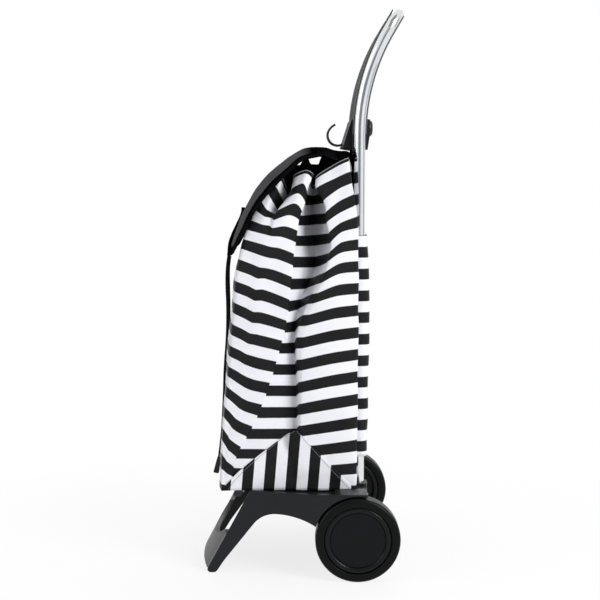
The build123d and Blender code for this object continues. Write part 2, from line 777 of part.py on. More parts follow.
def lid_section(x, points):
    """Strip of lid cloth, in the plane of one X, along the points of an outer line."""
    outer = [lid_point(share) for share in points]
    inner = [(y + 0.75 * lid_cloth, z - 0.75 * lid_cloth) for y, z in outer]
    inner[0] = (hinge_y, hinge_z - lid_cloth / 2)
    with BuildSketch(Plane.YZ.offset(x)) as section:
        with BuildLine():
            Spline(*outer)
            Line(outer[-1], inner[-1])
            Spline(*inner[::-1])
            Line(inner[0], outer[0])
        make_face()
    return section.sketch


with BuildPart() as lid:
    lid_half = lid_width / 2
    loft([lid_section(-lid_half, lid_side), lid_section(0, lid_middle), lid_section(lid_half, lid_side)])
    with BuildSketch(Plane.YZ):
        with Locations((hinge_y, hinge_z)):
            Circle(lid_bead)
    extrude(amount=lid_half, both=True)
lid.part.label = "lid"
export_step(lid.part, "parts/lid.step")

# Strap: webbing sewn along the outside of the lid, which hangs free from the tip to a moulded pull
tip_y, tip_z = lid_point(lid_middle[-1])
before_y, before_z = lid_point(lid_middle[-2])
run = ((before_y - tip_y) ** 2 + (before_z - tip_z) ** 2) ** 0.5
along_y = (before_y - tip_y) / run
along_z = (before_z - tip_z) / run
stand_off = strap_thickness / 2 + strap_stand
swing_y = tip_y - stand_off * along_z - strap_clear * along_y
swing_z = tip_z + stand_off * along_y - strap_clear * along_z
with BuildPart() as strap_anchor:
    with BuildSketch(Plane.YZ):
        with BuildLine():
            sewn_from = strap_thickness / 2 + fold_gap
            sewn_to = sewn_from + strap_sewn
            Line((swing_y + sewn_from * along_y, swing_z + sewn_from * along_z),
                 (swing_y + sewn_to * along_y, swing_z + sewn_to * along_z))
        trace(line_width=strap_thickness)
        lid_corner = vertices().sort_by_distance((tip_y, tip_z - strap_clear))[0]
        chamfer(lid_corner, length=0.7 * strap_thickness)
    extrude(amount=strap_width / 2, both=True)
strap_anchor.part.label = "strap_anchor"
export_step(strap_anchor.part, "parts/strap_anchor.step")

strap_route = [(0, 0), (1.8, -48), (0.9, -100), (2.3, -152), (5.4, -206), (8.4, -256), (11.8, -304),
               (16.2, -346), (22.5, -384)]
strap_points = [(swing_y - ahead, swing_z + below) for ahead, below in strap_route]


def arc_radii(points):
    """Radius of the arc at each corner: as large as the shorter of its two runs allows."""
    radii = []
    for before, here, after in zip(points, points[1:], points[2:]):
        first = Vector(*here) - Vector(*before)
        second = Vector(*after) - Vector(*here)
        turn = radians(first.get_angle(second))
        radii.append(0.45 * min(first.length, second.length) / tan(turn / 2))
    return radii


strap_radii = arc_radii(strap_points)
print("strap radii", [round(radius) for radius in strap_radii])
with BuildPart() as strap:
    with BuildSketch(Plane.YZ):
        with BuildLine() as strap_line:
            FilletPolyline(*strap_points, radius=strap_radii)
        trace(line_width=strap_thickness)
        with Locations((swing_y, swing_z)):
            Circle(strap_thickness / 2)
    extrude(amount=strap_width / 2, both=True)
print("strap length", round(strap_line.wires()[0].length, 1))
strap.part.label = "lid_strap"
export_step(strap.part, "parts/lid_strap.step")

with BuildPart() as strap_pull:
    end_y, end_z = strap_points[-1]
    pull_angle = radians(pull_lean)
    pull_x_dir = (0, cos(pull_angle), -sin(pull_angle))
    pull_plane = Plane(origin=(0, end_y, end_z), x_dir=pull_x_dir, z_dir=(1, 0, 0))
    with BuildSketch(pull_plane):
        with BuildLine():
            Polyline(
                (-pull_top / 2, 0),
                (pull_top / 2, 0),
                (pull_bottom / 2, -pull_length),
                (-pull_bottom / 2, -pull_length),
                close=True,
            )
        make_face()
        fillet(vertices().group_by(Axis.Y)[0], radius=pull_bottom / 4)
    extrude(amount=pull_width / 2, both=True)
strap_pull.part.label = "strap_pull"
export_step(strap_pull.part, "parts/strap_pull.step")

# Hanger: the webbing between the back of the lid root and the bridge, which carries the bag
with BuildPart() as hanger:
    hanger_low_z = shoulder_z + fabric * shoulder_slope + fold_gap
    with BuildSketch(Plane.XY.offset(hanger_low_z)):
        with Locations((0, root_back_y - fabric / 2)):
            Rectangle(hanger_width, fabric)
    extrude(amount=bridge_low_z - fold_gap - hanger_low_z)
hanger.part.label = "bag_hanger"
export_step(hanger.part, "parts/bag_hanger.step")
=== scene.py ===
import math

import bpy
import numpy as np
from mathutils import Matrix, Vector, noise
from mathutils.bvhtree import BVHTree


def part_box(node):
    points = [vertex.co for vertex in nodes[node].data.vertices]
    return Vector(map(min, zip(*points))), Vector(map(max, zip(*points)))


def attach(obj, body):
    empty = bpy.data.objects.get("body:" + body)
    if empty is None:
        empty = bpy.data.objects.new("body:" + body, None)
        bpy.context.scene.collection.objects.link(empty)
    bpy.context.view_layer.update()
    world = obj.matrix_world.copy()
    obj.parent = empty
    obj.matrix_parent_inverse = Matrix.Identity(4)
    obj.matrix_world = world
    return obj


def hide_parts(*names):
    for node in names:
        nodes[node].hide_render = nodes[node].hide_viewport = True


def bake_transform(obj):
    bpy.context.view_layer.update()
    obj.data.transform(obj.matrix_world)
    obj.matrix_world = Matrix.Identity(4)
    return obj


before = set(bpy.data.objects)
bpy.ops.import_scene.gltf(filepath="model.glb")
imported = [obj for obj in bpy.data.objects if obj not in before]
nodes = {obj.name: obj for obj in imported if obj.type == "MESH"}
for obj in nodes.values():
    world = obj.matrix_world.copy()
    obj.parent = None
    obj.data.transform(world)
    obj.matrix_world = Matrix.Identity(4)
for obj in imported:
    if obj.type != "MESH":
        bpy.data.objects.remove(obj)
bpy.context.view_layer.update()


# Base: one black polypropylene moulding with a spark-eroded grain. Its tray carries the bag, its
# cheeks carry the axle, and its front folds down into the loop that the trolley stands on.
class Wire:
    """One value in a material. Arithmetic on it adds Math nodes."""

    def __init__(self, finish, socket):
        self.finish = finish
        self.socket = socket

    def math(self, operation, first, second=0.0, clamp=False):
        settings = {"operation": operation, "use_clamp": clamp}
        return self.finish.node("Math", settings, {0: first, 1: second})

    def __add__(self, other):
        return self.math("ADD", self, other)

    def __sub__(self, other):
        return self.math("SUBTRACT", self, other)

    def __rsub__(self, other):
        return self.math("SUBTRACT", other, self)

    def __mul__(self, other):
        return self.math("MULTIPLY", self, other)

    def __truediv__(self, other):
        return self.math("DIVIDE", self, other)

    def __mod__(self, other):
        return self.math("FLOORED_MODULO", self, other)

    def __gt__(self, other):
        return self.math("GREATER_THAN", self, other)

    def __lt__(self, other):
        return self.math("LESS_THAN", self, other)

    def __abs__(self):
        return self.math("ABSOLUTE", self)

    __radd__ = __add__
    __rmul__ = __mul__

    def wave(self):
        return self.math("SINE", self)

    def held(self):
        """The value held between 0 and 1."""
        return self.math("ADD", self, 0.0, True)


class Finish:
    """A material: the fixed values of its shader, and the nodes that feed the rest."""

    def __init__(self, name, **fixed):
        self.material = bpy.data.materials.new(name)
        self.material.use_nodes = True
        self.tree = self.material.node_tree
        self.shader = self.tree.nodes["Principled BSDF"]
        self.feed(**fixed)

    def join(self, value, socket):
        if isinstance(value, Wire):
            self.tree.links.new(value.socket, socket)
        else:
            socket.default_value = value

    def node(self, kind, settings=None, sockets=None, out=0):
        """New node with its settings, and its sockets' values or links."""
        made = self.tree.nodes.new("ShaderNode" + kind)
        for key, value in (settings or {}).items():
            setattr(made, key, value)
        for key, value in (sockets or {}).items():
            self.join(value, made.inputs[key])
        return Wire(self, made.outputs[out])

    def feed(self, **values):
        for name, value in values.items():
            self.join(value, self.shader.inputs[name.replace("_", " ")])

    def surface(self):
        return Wire(self, self.shader.outputs[0])

    def place(self):
        """The point of the surface, in the object's own metres."""
        return self.node("TexCoord", out="Object")

    def cloth(self):
        """How far across and along its flat cut the point of a cloth lies, in metres."""
        flat = self.node("UVMap", {"uv_map": "cloth"})
        return [self.node("SeparateXYZ", None, {0: flat}, axis) for axis in "XY"]

    def cloud(self, scale, detail=3.0):
        """Soft uneven value about one half, with so many patches to the metre."""
        sockets = {"Vector": self.place(), "Scale": scale, "Detail": detail}
        return self.node("TexNoise", None, sockets)

    def mix(self, share, first, second):
        return self.node("Mix", {"data_type": "RGBA"}, {0: share, 6: first, 7: second}, 2)

    def bump(self, height, depth, strength=1.0, normal=None):
        sockets = {"Strength": strength, "Distance": depth, "Height": height}
        if normal:
            sockets["Normal"] = normal
        return self.node("Bump", None, sockets)


def tone(red, green, blue):
    """Linear colour from the levels, 0 to 255, that it shows on a screen."""
    linear = []
    for level in (red / 255, green / 255, blue / 255):
        linear.append(((level + 0.055) / 1.055) ** 2.4 if level > 0.04 else level / 12.92)
    return tuple(linear) + (1.0,)


def moulded(name, dark, light, gloss, grain=1500.0, grain_depth=0.00006, edge=0.0012, shine=0.3):
    """Moulded plastic: a fine grain, uneven gloss, and rounded edges with a painted highlight that makes
    them a little paler.
    """
    edge_highlight_gain = 2.5
    paling = 2.2
    finish = Finish(name, Specular_IOR_Level=shine)
    rounded = finish.node("Bevel", {"samples": 6}, {"Radius": edge})
    flat = finish.node("NewGeometry", out="Normal")
    facing = finish.node("VectorMath", {"operation": "DOT_PRODUCT"}, {0: rounded, 1: flat}, "Value")
    # Painted highlight: where the rounded normal turns away from the flat one, the colour is painted paler.
    painted_edge_highlight = ((1 - facing) * edge_highlight_gain).held()
    cloud = finish.cloud(9.0, detail=5.0)
    speck = finish.cloud(grain, detail=2.0)
    body = finish.mix(cloud, dark, light)
    pale = tuple(paling * level for level in light[:3]) + (1.0,)
    finish.feed(
        Base_Color=finish.mix(painted_edge_highlight * cloud, body, pale),
        Roughness=(gloss + (cloud - 0.5) * 0.14 + (speck - 0.5) * 0.1).held(),
        Normal=finish.bump(speck, grain_depth, normal=rounded),
    )
    return finish


def dress(finish, *names):
    """Give the named CAD pieces a finish."""
    for name in names:
        for slot in nodes[name].material_slots:
            slot.material = finish.material


base_plastic = moulded("base_plastic", tone(18, 19, 21), tone(28, 29, 32), gloss=0.38, grain=900.0,
                       grain_depth=0.00008, edge=0.0024, shine=0.22)
dress(base_plastic, "base")

# Foot pads: a rubber toe under each leg of the base, dull and a little dusty, on which the trolley
# stands when it is let go.
pad_rubber = moulded("pad_rubber", tone(22, 22, 22), tone(40, 39, 38), gloss=0.75, grain=700.0,
                     grain_depth=0.0001, edge=0.0008)
dress(pad_rubber, "foot_pads")

# Axle: a drawn steel rod across the base, with a washer outside each wheel and a push nut that
# holds it. All are plain zinc-plated steel with faint turning marks, as are the screws of the
# sockets and the bridge and the pin of the hook.
steel = Finish("zinc_steel", Metallic=1.0)
marks = steel.cloud(60.0, detail=6.0)
steel.feed(
    Base_Color=steel.mix(marks, tone(150, 152, 156), tone(196, 197, 200)),
    Roughness=0.24 + marks * 0.2,
    Normal=steel.bump(steel.cloud(1400.0), 0.00002),
)
dress(steel, "axle", "axle_washers", "axle_push_nuts", "socket_screws", "bridge_screws", "hook_pin")

# Wheels: a black plastic core with a soft tyre ring moulded round it and a flat cap pressed into
# its dish. The tyre is a dull compound, and the core and cap have the gloss of the mould.
tyre_rubber = moulded("tyre_rubber", tone(8, 9, 9), tone(13, 14, 14), gloss=0.36, grain=800.0,
                      grain_depth=0.00002, edge=0.003, shine=0.1)
wheel_plastic = moulded("wheel_plastic", tone(7, 8, 8), tone(12, 13, 14), gloss=0.26, grain=600.0,
                        grain_depth=0.00001, edge=0.004, shine=0.18)
cap_plastic = moulded("cap_plastic", tone(14, 15, 18), tone(20, 21, 25), gloss=0.4, grain=1200.0,
                      grain_depth=0.00005, edge=0.002, shine=0.1)
for side in ("left", "right"):
    dress(tyre_rubber, "tyre_" + side)
    dress(wheel_plastic, "wheel_core_" + side)
    dress(cap_plastic, "hub_cap_" + side)

# Frame: one steel tube bent into an inverted U and chromed, pushed into the sockets of the base.
# The plating is bright, with faint polishing lines and a haze of handling.
chrome = Finish("chrome_tube", Metallic=1.0)
haze = chrome.cloud(22.0, detail=5.0)
chrome.feed(
    Base_Color=chrome.mix(haze, tone(214, 216, 220), tone(236, 236, 236)),
    Roughness=0.06 + haze * 0.1,
    Normal=chrome.bump(chrome.cloud(900.0, detail=1.0), 0.000004),
)
dress(chrome, "frame_tube")

# Handle liner: a dark grey plastic channel clipped inside the bow, where the hands go. Bridge: two
# black shells screwed together round both legs, with a domed button at the back. The pull of the
# strap is of the same plastic as the shells.
liner_plastic = moulded("liner_plastic", tone(70, 71, 72), tone(94, 95, 95), gloss=0.45, grain=900.0,
                        grain_depth=0.00006, edge=0.0008)
dress(liner_plastic, "handle_liner")
bridge_plastic = moulded("bridge_plastic", tone(13, 13, 14), tone(24, 24, 26), gloss=0.4, grain=900.0,
                         grain_depth=0.00006, edge=0.0012)
dress(bridge_plastic, "bridge_front", "bridge_back", "strap_pull")
knob_plastic = moulded("knob_plastic", tone(26, 20, 20), tone(40, 30, 30), gloss=0.3, grain=700.0,
                       grain_depth=0.00003, edge=0.002)
dress(knob_plastic, "bridge_knob")

# Hook: a flat strip of grey nylon bent into a C. It turns on a steel pin in the bridge, and folds
# down when it isn't in use.
hook_plastic = moulded("hook_plastic", tone(58, 58, 56), tone(84, 83, 80), gloss=0.38, grain=900.0,
                       grain_depth=0.00004, edge=0.0012)
dress(hook_plastic, "hook")

# Base board: a sheet of grey-brown pressed board inside the bag, rough with pulp, which keeps the
# bottom of the bag flat.
board = Finish("board")
pulp = board.cloud(420.0, detail=5.0)
board.feed(
    Base_Color=board.mix(pulp, tone(96, 90, 82), tone(128, 121, 110)),
    Roughness=0.8 + pulp * 0.15,
    Normal=board.bump(pulp, 0.0002),
)
dress(board, "bag_base_board")

# Bag: a shell of coated woven cloth with printed stripes, sewn up from a front, a back and two
# side gussets, which fold inwards where the mouth is drawn together under the lid.
stripe = 0.0195
rim_band = 0.0045
cloth_thickness = 0.0012


def striped(name, rim, band):
    """Coated cloth with black and white stripes, counted in metres down from the rim."""
    weave_pitch = 0.0009
    weave_depth = 0.00012
    crease_depth = 0.0035
    edge_width = 0.0006
    finish = Finish(name, Specular_IOR_Level=0.17, Sheen_Weight=0.02, Sheen_Roughness=0.4)
    across, along = finish.cloth()
    warp = (across * (2 * math.pi / weave_pitch)).wave()
    weft = (along * (2 * math.pi / weave_pitch)).wave()
    down = (finish.cloud(500.0) - 0.5) * edge_width - along
    turn = ((down - rim) / (2 * stripe) + 0.75) % 1.0
    white = ((abs(turn - 0.5) - 0.25) * (2 * stripe / edge_width) + 0.5).held()
    white = white * (down > band)
    cloud = finish.cloud(16.0, detail=4.0)
    ink = finish.mix(cloud, tone(4, 4, 6), tone(18, 19, 22))
    ground = finish.mix(cloud, tone(234, 234, 243), tone(247, 247, 251))
    creased = finish.bump(finish.cloud(30.0, detail=2.0), crease_depth, strength=0.6)
    finish.feed(
        Base_Color=finish.mix(white, ink, ground),
        Roughness=0.4 + white * 0.32 + (cloud - 0.5) * 0.16,
        Normal=finish.bump(warp * weft, weave_depth, normal=creased),
    )
    return finish


def smooth(stations, values, where, ease=1.0):
    """Points along a smooth line that passes through the values, each at its own station."""
    stations = np.asarray(stations, float)
    values = np.asarray(values, float)
    where = np.clip(np.asarray(where, float), stations[0], stations[-1])
    slopes = np.gradient(values, stations, axis=0) * np.reshape(ease, (-1, 1))
    at = np.clip(np.searchsorted(stations, where, side="right") - 1, 0, len(stations) - 2)
    span = (stations[at + 1] - stations[at])[:, None]
    part = (where - stations[at])[:, None] / span
    square = part * part
    cube = square * part
    return (
        values[at] * (2 * cube - 3 * square + 1)
        + slopes[at] * span * (cube - 2 * square + part)
        + values[at + 1] * (3 * square - 2 * cube)
        + slopes[at + 1] * span * (cube - square)
    )


def added(name, data):
    """New object of the scene that holds the data."""
    piece = bpy.data.objects.new(name, data)
    bpy.context.scene.collection.objects.link(piece)
    return piece


def shaped(name, vertices, faces, finish):
    """New piece from its points and faces, shaded smooth and in one finish."""
    mesh = bpy.data.meshes.new(name)
    mesh.from_pydata(vertices, [], faces)
    mesh.shade_smooth()
    mesh.materials.append(finish.material)
    return added(name, mesh)


def sewn(name, grid, cloth, finish, closed=False):
    """Cloth mesh from rows of points. cloth gives each point's place on the flat cut, in metres."""
    rows, columns = grid.shape[:2]
    last = columns if closed else columns - 1
    faces = []
    corners = []
    for row in range(rows - 1):
        for column in range(last):
            after = (column + 1) % columns
            faces.append((row * columns + column, (row + 1) * columns + column,
                          (row + 1) * columns + after, row * columns + after))
            corners += [cloth[row, column], cloth[row + 1, column],
                        cloth[row + 1, column + 1], cloth[row, column + 1]]
    piece = shaped(name, grid.reshape(-1, 3).tolist(), faces, finish)
    layer = piece.data.uv_layers.new(name="cloth")
    layer.data.foreach_set("uv", np.array(corners, np.float32).ravel())
    return piece


def thicken(piece, thickness, offset=-1.0):
    """Give a cloth its thickness, behind its face unless the offset says otherwise."""
    skin = piece.modifiers.new("thickness", "SOLIDIFY")
    skin.thickness = thickness
    skin.offset = offset


def rumple(piece, count, depth, seed):
    """Small uneven swells over a cloth, so many to the metre."""
    mesh = piece.data
    normals = [vertex.normal.copy() for vertex in mesh.vertices]
    for vertex, normal in zip(mesh.vertices, normals):
        swell = noise.fractal(vertex.co * count + Vector((seed, 0, 0)), 1.0, 2.0, 3)
        vertex.co += normal * depth * swell


# Each column of the bag runs down the cloth. A point gives, in millimetres, how far down from the
# rim it lies and its X, Y and Z on the +X side.
front_middle = [(0, 0, -24, 694), (41, 0, -50, 666), (80, 0, -76, 640), (119, 0, -95, 608),
                (158, 0, -108, 577), (197, 0, -117, 545), (275, 0, -126, 474), (353, 0, -132, 396),
                (431, 0, -138, 319), (509, 0, -144, 238), (576, 0, -145, 152)]
front_quarter = [(0, 76, -34, 692), (41, 92, -58, 663), (80, 100, -79, 639), (119, 106, -96, 610),
                 (158, 110, -107, 580), (197, 112, -116, 546), (275, 113, -125, 474),
                 (431, 115, -138, 320), (509, 117, -145, 240), (576, 118, -148, 152)]
front_corner = [(0, 98, -42, 705), (21, 106, -51, 695), (41, 112, -62, 683), (61, 117, -73, 667),
                (80, 122, -81, 650), (119, 134, -95, 616), (158, 140, -104, 583), (197, 142, -111, 545),
                (275, 143, -119, 469), (353, 143, -126, 393), (431, 144, -134, 321),
                (509, 145, -141, 243), (576, 145, -143, 152)]
flap = [(0, 108, -35, 708), (21, 117, -42, 688), (41, 121, -54, 670), (61, 127, -62, 652),
        (80, 135, -66, 640), (119, 142, -74, 611), (197, 146, -91, 538), (275, 147, -101, 461),
        (392, 146, -119, 350), (509, 146, -139, 239), (576, 145, -140, 152)]
valley = [(0, 30, -20, 674), (21, 40, -27, 652), (41, 66, -38, 642), (61, 110, -48, 644),
          (80, 131, -52, 637), (119, 144, -61, 608), (197, 149, -78, 532), (275, 149, -88, 454),
          (392, 147, -110, 344), (509, 146, -135, 233), (576, 145, -137, 152)]
finger_front = [(0, 108, -13, 711), (21, 116, -19, 688), (41, 123, -28, 670), (61, 135, -43, 650),
                (80, 142, -48, 634), (119, 147, -52, 606), (158, 149.5, -57, 568), (197, 149.5, -65, 532),
                (275, 149.5, -76, 453), (392, 148, -100, 338), (509, 147, -131, 226),
                (576, 145, -134, 152)]
finger = [(0, 117, 5, 719), (21, 124, -1, 698), (41, 130, -9, 680), (61, 136, -17, 662),
          (80, 142, -26, 642), (119, 148, -37, 605), (158, 150, -44, 566), (197, 150, -52, 528),
          (275, 150, -63, 450), (392, 149, -90, 334), (509, 147, -125, 221), (576, 145, -131, 152)]
lobe = [(0, 113, 20, 712), (21, 121, 9, 685), (41, 128, 6, 664), (80, 140, -5, 634), (119, 147, -11, 595),
        (158, 150, -16, 555), (197, 150.5, -20, 515), (236, 150.5, -23, 475), (275, 150, -30, 440),
        (353, 149.5, -50, 366), (392, 149.5, -63, 328), (450, 149, -88, 270), (509, 148, -117, 214),
        (576, 144, -126, 152)]
tuck = [(0, 84, 17, 701), (41, 104, 5, 659), (80, 122, -7, 625), (119, 133, -13, 589),
        (158, 138, -18, 551), (197, 140, -22, 512), (236, 141, -25, 472), (275, 141, -32, 436),
        (353, 142, -53, 361), (392, 142, -66, 323), (450, 143, -90, 265), (509, 143, -118, 210),
        (576, 143, -122, 152)]
fold = [(0, 14, 22, 690), (41, 20, 20, 657), (80, 32, 22, 621), (119, 55, 25, 584), (158, 79, 23, 546),
        (197, 99, 6, 509), (236, 112, -8, 473), (275, 116, -12, 434), (392, 120, -10, 318),
        (470, 129, -9, 242), (510, 138, -8, 207), (576, 142, -8, 152)]
rear_tuck = [(0, 82, 30, 700), (41, 104, 41, 663), (80, 121, 45, 627), (119, 130, 51, 593),
             (158, 135, 44, 558), (197, 138, 27, 521), (236, 140, 9, 486), (275, 141, -5, 447),
             (392, 141, -6, 327), (470, 142, -6, 250), (576, 143, -5, 152)]
rear_lobe = [(0, 112, 25, 707), (21, 119, 25, 688), (41, 126, 37, 666), (80, 135, 43, 629),
             (119, 141, 51, 595), (158, 144, 46, 561), (197, 146, 34, 524), (236, 147, 20, 488),
             (275, 147, 6, 448), (392, 146.5, -1, 329), (470, 146, -3, 250), (576, 144, -1, 152)]
rear_flank = [(0, 117, 62, 732), (41, 129, 65, 688), (80, 137, 66, 646), (119, 143, 70, 613),
              (158, 146, 69, 577), (197, 148, 66, 540), (275, 149.5, 58, 461), (392, 149.5, 50, 340),
              (509, 148, 50, 218), (576, 144, 50, 152)]
rear_corner = [(0, 116, 82, 741), (41, 126, 88, 698), (80, 134, 95, 660), (119, 139, 98, 620),
               (197, 142, 99, 543), (392, 143, 99, 347), (576, 143, 97, 152)]
back_edge = [(0, 96, 82, 740), (41, 106, 84, 697), (80, 111, 86, 658), (197, 114, 87, 541),
             (576, 114, 88, 152)]
back_middle = [(0, 0, 82, 738), (80, 0, 84, 655), (197, 0, 85, 541), (576, 0, 87, 152)]
bag_columns = [front_middle, front_quarter, front_corner, flap, valley, finger_front, finger, lobe, tuck,
               fold, rear_tuck, rear_lobe, rear_flank, rear_corner, back_edge, back_middle]
crispness = [1, 0.9, 0.8, 0.5, 0.5, 0.5, 0.9, 0.25, 0.25, 0, 0.15, 0.35, 1, 0.6, 0.2, 1]
bag_height = 0.576
cloth_step = 0.004
bag_rows = np.linspace(0, bag_height, 1 + round(bag_height / cloth_step))


def column_line(column):
    """Points of a column at every row of the bag, in metres."""
    table = np.array(column) / 1000
    return smooth(table[:, 0], table[:, 1:], bag_rows)


def mirrored(points):
    return points * np.array([-1, 1, 1])


cage = np.stack([column_line(column) for column in bag_columns], axis=1)
cage = np.concatenate([mirrored(cage[:, 1:2]), cage, mirrored(cage[:, -2:-1])], axis=1)
widths = np.linalg.norm(np.diff(cage, axis=1), axis=2).mean(axis=0)
stations = np.concatenate([[0], np.cumsum(widths)])
crisp = np.array([crispness[1]] + crispness + [crispness[-2]])
picks = [np.linspace(stations[k], stations[k + 1], math.ceil(widths[k] / cloth_step), endpoint=False)
         for k in range(1, len(stations) - 2)]
picks = np.concatenate(picks + [[stations[-2]]])
half = np.stack([smooth(stations, row, picks, crisp) for row in cage])
steps = np.linalg.norm(np.diff(half, axis=1), axis=2)
reach = np.concatenate([np.zeros((len(half), 1)), np.cumsum(steps, axis=1)], axis=1)
bag_grid = np.concatenate([mirrored(half[:, :0:-1]), half[:, :-1]], axis=1)
spans = np.concatenate([-reach[:, :0:-1], reach], axis=1)
foot_middle = np.array([0, -0.02, bag_grid[-1, 0, 2]])
foot_shares = [0.97, 0.7, 0.4, 0.02]
foot_drops = np.array([0.004, 0.04, 0.08, 0.13])
foot_rings = [foot_middle + (bag_grid[-1] - foot_middle) * share for share in foot_shares]
bag_grid = np.concatenate([bag_grid, foot_rings])
drops = np.concatenate([bag_rows, bag_height + foot_drops])
spans = np.concatenate([spans, np.repeat(spans[-1:], len(foot_rings), axis=0)])
bag_cloth = np.stack([spans, np.broadcast_to(-drops[:, None], spans.shape)], axis=2)
first_stripe = 0.002
bag_stripes = striped("striped_cloth", first_stripe, rim_band)
bag = sewn("bag_shell", bag_grid, bag_cloth, bag_stripes, closed=True)
rumple(bag, count=16.0, depth=0.0016, seed=3.0)
thicken(bag, cloth_thickness)
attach(bag, "frame")
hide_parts("bag_body")

# Corner panels: where the bottom of the bag is folded up over the foot of each gusset it makes a
# flat triangle with upright stripes, sewn down along its two slopes.
panel_apex = (-0.0103, 0.2615)
panel_foot = 0.1525
panel_front = -0.1415
panel_back = 0.0975
panel_bow = 1.27
panel_lift = 0.0016
panel_stripe = -0.0103
panel_lean = 0.082
panel_tip = 0.985
panel_thickness = 0.0014
seam_column = 2
flank_reach = 0.15
no_band = -1.0
panel_stripes = striped("panel_cloth", 0.0, no_band)
bag_skin = BVHTree.FromObject(bag, bpy.context.evaluated_depsgraph_get())


def panel_point(side, y, z):
    """Point just off the bag's outer skin, beside a point of its flank."""
    hit = bag_skin.find_nearest(Vector((side * flank_reach, y, z)))[0]
    return (hit.x + side * panel_lift, y, z)


def panel_grid(side, rise_steps=22, width_steps=48):
    """Rows of a panel's points from its tip down, with their places on the flat cut."""
    points = np.zeros((rise_steps + 1, width_steps + 1, 3))
    cloth = np.zeros((rise_steps + 1, width_steps + 1, 2))
    for row in range(rise_steps + 1):
        rise = panel_tip * (1 - row / rise_steps)
        z = panel_foot + rise * (panel_apex[1] - panel_foot)
        front = panel_front + rise ** panel_bow * (panel_apex[0] - panel_front)
        back = panel_back + rise * (panel_apex[0] - panel_back)
        for column in range(width_steps + 1):
            y = front + (back - front) * column / width_steps
            points[row, column] = panel_point(side, y, z)
            cloth[row, column] = (z, panel_stripe - y + panel_lean * (z - panel_foot))
    return points, cloth


def strand(name, lines, radius, finish, sides=8, closed=False):
    """Round cord along one or more lines of points, as one mesh."""
    vertices = []
    faces = []
    for line in lines:
        line = np.asarray(line, float)
        count = len(line)
        if closed:
            tangents = np.roll(line, -1, axis=0) - np.roll(line, 1, axis=0)
        else:
            tangents = np.gradient(line, axis=0)
        first = len(vertices)
        for point, tangent in zip(line, tangents):
            tangent = Vector(tangent).normalized()
            aside = Vector((0, 0, 1)) if abs(tangent.z) < 0.9 else Vector((1, 0, 0))
            level = tangent.cross(aside).normalized()
            upright = tangent.cross(level)
            for turn in range(sides):
                angle = 2 * math.pi * turn / sides
                offset = level * math.cos(angle) + upright * math.sin(angle)
                vertices.append(tuple(Vector(point) + offset * radius))
        for ring in range(count if closed else count - 1):
            here = first + ring * sides
            there = first + (ring + 1) % count * sides
            for turn in range(sides):
                after = (turn + 1) % sides
                faces.append((here + turn, here + after, there + after, there + turn))
        if not closed:
            faces.append(tuple(range(first + sides - 1, first - 1, -1)))
            last = first + (count - 1) * sides
            faces.append(tuple(range(last, last + sides)))
    return shaped(name, vertices, faces, finish)


def run_of(line):
    """Length along a line of points, from its start to each point."""
    return np.concatenate([[0], np.cumsum(np.linalg.norm(np.diff(line, axis=0), axis=1))])


stitch_pitch = 0.0042
stitch_length = 0.0028
thread_radius = 0.0004
thread_sides = 5


def stitches(lines, lift):
    """Short lines for thread, laid at a pitch along lines and lifted off the cloth."""
    lift = np.asarray(lift, float)
    sunk = 0.6
    threads = []
    for line in lines:
        line = np.asarray(line, float) + lift
        lengths = run_of(line)
        for start in np.arange(0, lengths[-1] - stitch_length, stitch_pitch):
            at = start + stitch_length * np.array([0, 0.2, 0.8, 1])
            dash = np.column_stack([np.interp(at, lengths, line[:, axis]) for axis in range(3)])
            dash[[0, -1]] -= sunk * lift
            threads.append(dash)
    return threads


def spun(name, dark, light):
    """Sewing thread, flecked along its twist."""
    finish = Finish(name, Roughness=0.6, Specular_IOR_Level=0.2)
    finish.feed(Base_Color=finish.mix(finish.cloud(2500.0), dark, light))
    return finish


# Partly painted shade: the stitching is real, but its grey stands for the thin shadow line along the sewn
# slopes of the corner panels; the sleeve hems use the same thread.
thread = spun("grey_thread_painted_seam_shade", tone(104, 104, 112), tone(160, 160, 168))
for side, name in ((1, "left"), (-1, "right")):
    points, cloth = panel_grid(side)
    slopes = [points[:, seam_column], points[:, -1 - seam_column]]
    seams = stitches(slopes, lift=(side * 0.0007, 0, 0))
    sewing = strand("panel_stitches_" + name, seams, thread_radius, thread, thread_sides)
    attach(sewing, "frame")
    if side < 0:
        points = points[:, ::-1]
        cloth = cloth[:, ::-1]
    panel = sewn("corner_panel_" + name, points, cloth, panel_stripes)
    rumple(panel, count=22.0, depth=0.0007, seed=8.0)
    thicken(panel, panel_thickness)
    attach(panel, "frame")


# Collar: plain black cloth sewn to the rim of the bag and gathered towards the middle under the lid, with a
# thin piping along the seam whose light grey is a painted highlight.
def woven(name, dark, light, gloss, margin=1.0, hem=1.0, root=0.0):
    """Plain woven cloth, black past its margin and its hem and fading to black towards its root; on the lid
    the lighter tones within are a painted sheen.
    """
    pitch = 0.0011
    root_fade = 0.025
    shade = 0.007
    yarn_depth = 0.00016
    border = tone(8, 8, 9)
    finish = Finish(name, Specular_IOR_Level=0.0)
    across, along = finish.cloth()
    yarn = (across * (2 * math.pi / pitch)).wave() * (along * (2 * math.pi / pitch)).wave()
    cloud = finish.cloud(18.0, detail=5.0)
    body = finish.mix((cloud + yarn * 0.15).held(), dark, light)
    # On the lid this mask takes the painted sheen away towards the root, leaving the cloth's own black.
    sheen_gone_at_root = ((root - abs(along)) / root_fade).held()
    sides = ((abs(across) - margin) / shade + 0.5).held()
    end = ((abs(along) - hem) / shade + 0.5).held()
    bound = (sides + end + sheen_gone_at_root).held()
    finish.feed(
        Base_Color=finish.mix(bound, body, border),
        Roughness=gloss + (cloud - 0.5) * 0.16,
        Normal=finish.bump(yarn + cloud, yarn_depth),
    )
    return finish


